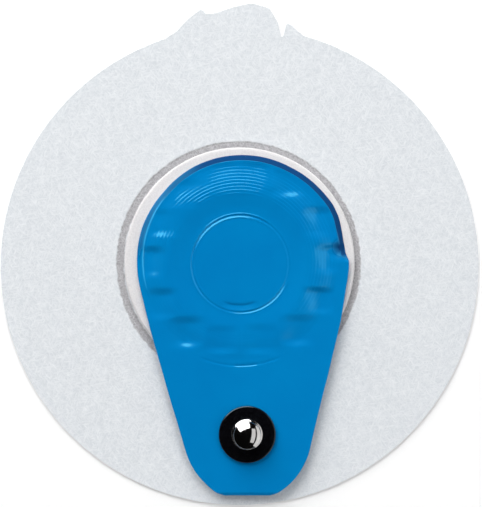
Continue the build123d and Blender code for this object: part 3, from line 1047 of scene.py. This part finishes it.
# %% [markdown]
# ## Turned and drawn pieces
#
# The washer and the stud are round about one upright line, so each is a section spun round it.
# The stud is drawn from thin sheet, plated and buffed: its dome must be really smooth, because it
# mirrors the whole studio, and a coarse mesh would show in the reflection.

# %% Spin a section round a line
SPIN = 144
spin_turns = np.linspace(0, 2 * math.pi, SPIN, endpoint=False)
spin_plan = np.stack([np.cos(spin_turns), np.sin(spin_turns)], 1)


def spun(section, centre):
    return [lifted(np.asarray(centre) + spin_plan * r, z) for r, z in section]


def rounded(corner, radius, start, end, steps=6):
    """Points of a quarter of a circle, from one angle to another in degrees."""
    angles = np.radians(np.linspace(start, end, steps))
    return [(corner[0] + radius * math.cos(a), corner[1] + radius * math.sin(a)) for a in angles]


def speckled_finish(
    name, colours, size, roughness, bump=0.15, metallic=0.0, gloss=0.5, tint=(1.0, 1.0, 1.0)
):
    """A finish whose colour and skin vary a little, in specks of this size in millimetres."""
    material, nodes, links, shader = material_nodes(name)
    place = nodes.new("ShaderNodeTexCoord").outputs["Object"]
    specks = clouds(nodes, links, place, size, detail=4.0)
    links.new(ramp_between(nodes, links, specks, (0.3, 0.7), colours), shader.inputs["Base Color"])
    links.new(remap(nodes, links, specks, (0.2, 0.8), roughness), shader.inputs["Roughness"])
    links.new(bump_from(nodes, links, specks, bump, 0.02), shader.inputs["Normal"])
    shader.inputs["Metallic"].default_value = metallic
    shader.inputs["Specular IOR Level"].default_value = gloss
    shader.inputs["Specular Tint"].default_value = (*tint, 1.0)
    return material


# %% Turn the washer
POST_HOLE = 1.25
WASHER_ROUND = 0.2
washer_top = washer_high[2]
washer_section = [
    (POST_HOLE, film_top),
    (POST_HOLE, washer_top),
    (3.0, washer_top),
    *rounded((washer_radius - WASHER_ROUND, washer_top - WASHER_ROUND), WASHER_ROUND, 90, 0, 8),
    (washer_radius, film_top + 0.03),
    (washer_radius - 0.03, film_top),
]
moulded_black = speckled_finish(
    "black_moulded_washer", ((0.0012, 0.001, 0.0016), (0.003, 0.0027, 0.0038)),
    size=0.4, roughness=(0.13, 0.22), bump=0.05, gloss=1.0, tint=(0.6, 0.85, 1.0),
)
add_piece("black_washer", skin_of_rings(spun(washer_section, stud_centre), has_hole=True),
          moulded_black, "snap_washer", 40.0)

# %% Draw the stud
stud_top = stud_high[2]
FOOT_RADIUS = (stud_high[0] - stud_low[0]) / 2
HEAD_R = 1.95
NECK_R = 1.7
STUD_WALL = 0.2
FOOT_THICK = 0.3
BAND_LOW, BAND_HIGH = stud_top - 1.3, stud_top - 0.7
DOME_RISE = stud_top - BAND_HIGH
foot_top = washer_top + FOOT_THICK


def dome(radius, rise, base, steps=22):
    """Points over a shallow dome, from just off its middle to its rim."""
    arc = (radius**2 + rise**2) / (2 * rise)
    rim = math.asin(radius / arc)
    angles = [*np.linspace(0.02, 0.96 * rim, steps), 0.99 * rim, rim]
    return [(arc * math.sin(a), base + rise - arc + arc * math.cos(a)) for a in angles]


stud_section = [
    *dome(HEAD_R - 0.03, DOME_RISE - 0.03, BAND_HIGH + 0.03),
    (HEAD_R - 0.01, BAND_HIGH - 0.03),
    (HEAD_R, BAND_HIGH - 0.1),
    (HEAD_R, BAND_LOW + 0.06),
    (HEAD_R - 0.04, BAND_LOW - 0.06),
    (NECK_R + 0.05, BAND_LOW - 0.3),
    (NECK_R, BAND_LOW - 0.45),
    (NECK_R, foot_top + 0.14),
    (NECK_R + 0.03, foot_top + 0.04),
    (NECK_R + 0.12, foot_top),
    (HEAD_R - 0.05, foot_top),
    (HEAD_R, foot_top - 0.02),
    (FOOT_RADIUS - 0.05, foot_top - 0.12),
    (FOOT_RADIUS - 0.03, foot_top - 0.14),
    (FOOT_RADIUS, foot_top - 0.2),
    *rounded((FOOT_RADIUS - 0.05, washer_top + 0.05), 0.05, 0, -90, 4),
    (POST_HOLE, washer_top),
    (POST_HOLE, foot_top),
    (NECK_R - STUD_WALL, foot_top),
    (NECK_R - STUD_WALL, BAND_LOW - 0.4),
    (HEAD_R - STUD_WALL, BAND_LOW),
    *dome(HEAD_R - STUD_WALL, DOME_RISE - STUD_WALL, BAND_HIGH, 8)[::-1],
]
bright_plate = speckled_finish(
    "bright_plated_metal", ((0.58, 0.57, 0.56), (0.7, 0.69, 0.68)),
    size=0.7, roughness=(0.05, 0.13), bump=0.02, metallic=1.0,
)
add_piece("press_stud", skin_of_rings(spun(stud_section, stud_centre), has_hole=False),
          bright_plate, "snap_stud", 50.0)

# %% [markdown]
# ## What lies underneath
#
# Turn the electrode over and the gel shows: an open sponge in the well, wet and a little sunken,
# its cells cut open at the face. We spin it like the stud and press the cells into its face with
# noise, hollowing it where the sensor dips in. The sensor, the strip, the lining and the eyelet
# already have their true shapes as solids, so they keep them and only get finishes.

# %% Soak the sponge
SPONGE_RADIUS = sponge_high[0]
SPONGE_TOP = sponge_high[2]
PORE_DEPTH = 0.12
PORE_LAYERS = [(2.6, 1.0, 0), (6.0, 0.35, 5)]
PORE_SLOPE = 0.35
FACE_SINK = 0.02
SENSOR_HOLLOW = [(2.1, 0.0), (2.08, 0.23), (1.13, 0.23), (0.93, 0.58)]
SPONGE_RADII = np.linspace(0.25, SPONGE_RADIUS - 0.12, 36)


def pores_at(ring):
    """How far the cut face lies inside the skin side, for each point of a ring."""
    cells = np.array([max(layered_noise(x, y, PORE_LAYERS), 0) for x, y in ring])
    return np.minimum(cells * PORE_SLOPE, PORE_DEPTH) + FACE_SINK


face_rings = [lifted(spin_plan * r, pores_at(spin_plan * r)) for r in SPONGE_RADII]
sponge_section = [
    (SPONGE_RADIUS - 0.03, 0.06), (SPONGE_RADIUS, 0.15),
    (SPONGE_RADIUS, SPONGE_TOP - 0.05), (SPONGE_RADIUS - 0.05, SPONGE_TOP),
    *[(radius, SPONGE_TOP - depth) for radius, depth in SENSOR_HOLLOW],
]
sponge_skin = skin_of_rings(face_rings + spun(sponge_section, (0.0, 0.0)), has_hole=False)
wet_gel = speckled_finish(
    "wet_gel_sponge", ((0.5, 0.6, 0.62), (0.68, 0.75, 0.76)),
    size=0.3, roughness=(0.08, 0.35), bump=0.3,
)
sponge = add_piece("wet_sponge", sponge_skin, wet_gel, "gel_sponge", 40.0)

# %% Finish the hidden solids
HIDDEN_FINISHES = {
    "tail_lining": speckled_finish(
        "white_lining_film", ((0.7, 0.71, 0.72), (0.8, 0.81, 0.82)), size=0.9, roughness=(0.35, 0.5)
    ),
    "conductor_strip": speckled_finish(
        "carbon_strip", ((0.012, 0.012, 0.013), (0.03, 0.03, 0.032)), size=0.25, roughness=(0.4, 0.6)
    ),
    "sensor_disc": speckled_finish(
        "silver_chloride", ((0.34, 0.34, 0.33), (0.5, 0.5, 0.47)), size=0.15, roughness=(0.45, 0.65)
    ),
    "snap_eyelet": bright_plate,
}
for name, finish in HIDDEN_FINISHES.items():
    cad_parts[name].material_slots[0].material = finish
print("finished:", sorted(HIDDEN_FINISHES))
